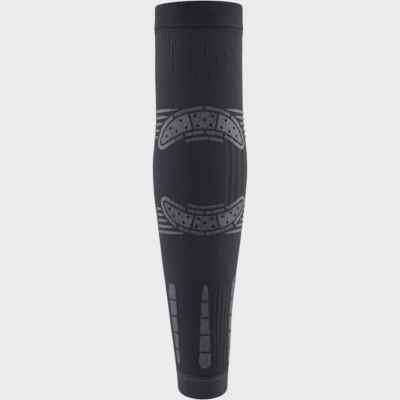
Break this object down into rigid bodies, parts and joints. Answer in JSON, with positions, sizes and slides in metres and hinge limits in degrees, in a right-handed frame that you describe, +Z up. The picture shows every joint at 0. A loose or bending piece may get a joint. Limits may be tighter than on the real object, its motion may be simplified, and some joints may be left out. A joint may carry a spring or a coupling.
{
  "type": "arm compression sleeve",
  "caption": "Long tapered knitted compression sleeve for the arm, open at both ends, with doubled hems and raised silicone support panels round the elbow.",
  "frame": {"origin": "middle of the elbow, on the arm's axis, where the sleeve sits on an arm", "axes": "+Z up the arm from wrist to upper arm, -Y towards the printed front, +X to the viewer's right"},
  "size_m": [0.0978, 0.0932, 0.4013],
  "materials": {
    "knit": "ribbed nylon and elastane knit, matt with a soft sheen towards the edges",
    "hem": "doubled plain knit band, matt",
    "print": "grey silicone printed on the knit, satin, with the knit's ribs showing through"
  },
  "bodies": {
    "root": {"knit_tube": "knit", "upper_cuff": "hem", "lower_cuff": "hem", "lower_arc": "print", "lower_bridge_left": "print", "lower_bridge_right": "print", "lower_hook_left": "print", "lower_hook_right": "print", "lower_pad_left": "print", "lower_pad_middle": "print", "lower_pad_right": "print", "lower_ring_left": "print", "lower_ring_right": "print", "lower_stripe_left_1": "print", "lower_stripe_left_2": "print", "lower_stripe_left_3": "print", "lower_stripe_left_4": "print", "lower_stripe_left_5": "print", "lower_stripe_right_1": "print", "lower_stripe_right_2": "print", "lower_stripe_right_3": "print", "lower_stripe_right_4": "print", "lower_stripe_right_5": "print", "strip_centre_1": "print", "strip_centre_2": "print", "strip_centre_3": "print", "strip_centre_4": "print", "strip_centre_5": "print", "strip_left_1": "print", "strip_left_2": "print", "strip_left_3": "print", "strip_left_4": "print", "strip_left_5": "print", "strip_right_1": "print", "strip_right_2": "print", "strip_right_3": "print", "strip_right_4": "print", "strip_right_5": "print", "upper_arc": "print", "upper_bridge_left": "print", "upper_bridge_right": "print", "upper_hook_left": "print", "upper_hook_right": "print", "upper_pad_left": "print", "upper_pad_middle": "print", "upper_pad_right": "print", "upper_ring_left": "print", "upper_ring_right": "print", "upper_stripe_left_1": "print", "upper_stripe_left_2": "print", "upper_stripe_left_3": "print", "upper_stripe_left_4": "print", "upper_stripe_left_5": "print", "upper_stripe_right_1": "print", "upper_stripe_right_2": "print", "upper_stripe_right_3": "print", "upper_stripe_right_4": "print", "upper_stripe_right_5": "print"}
  },
  "joints": []
}
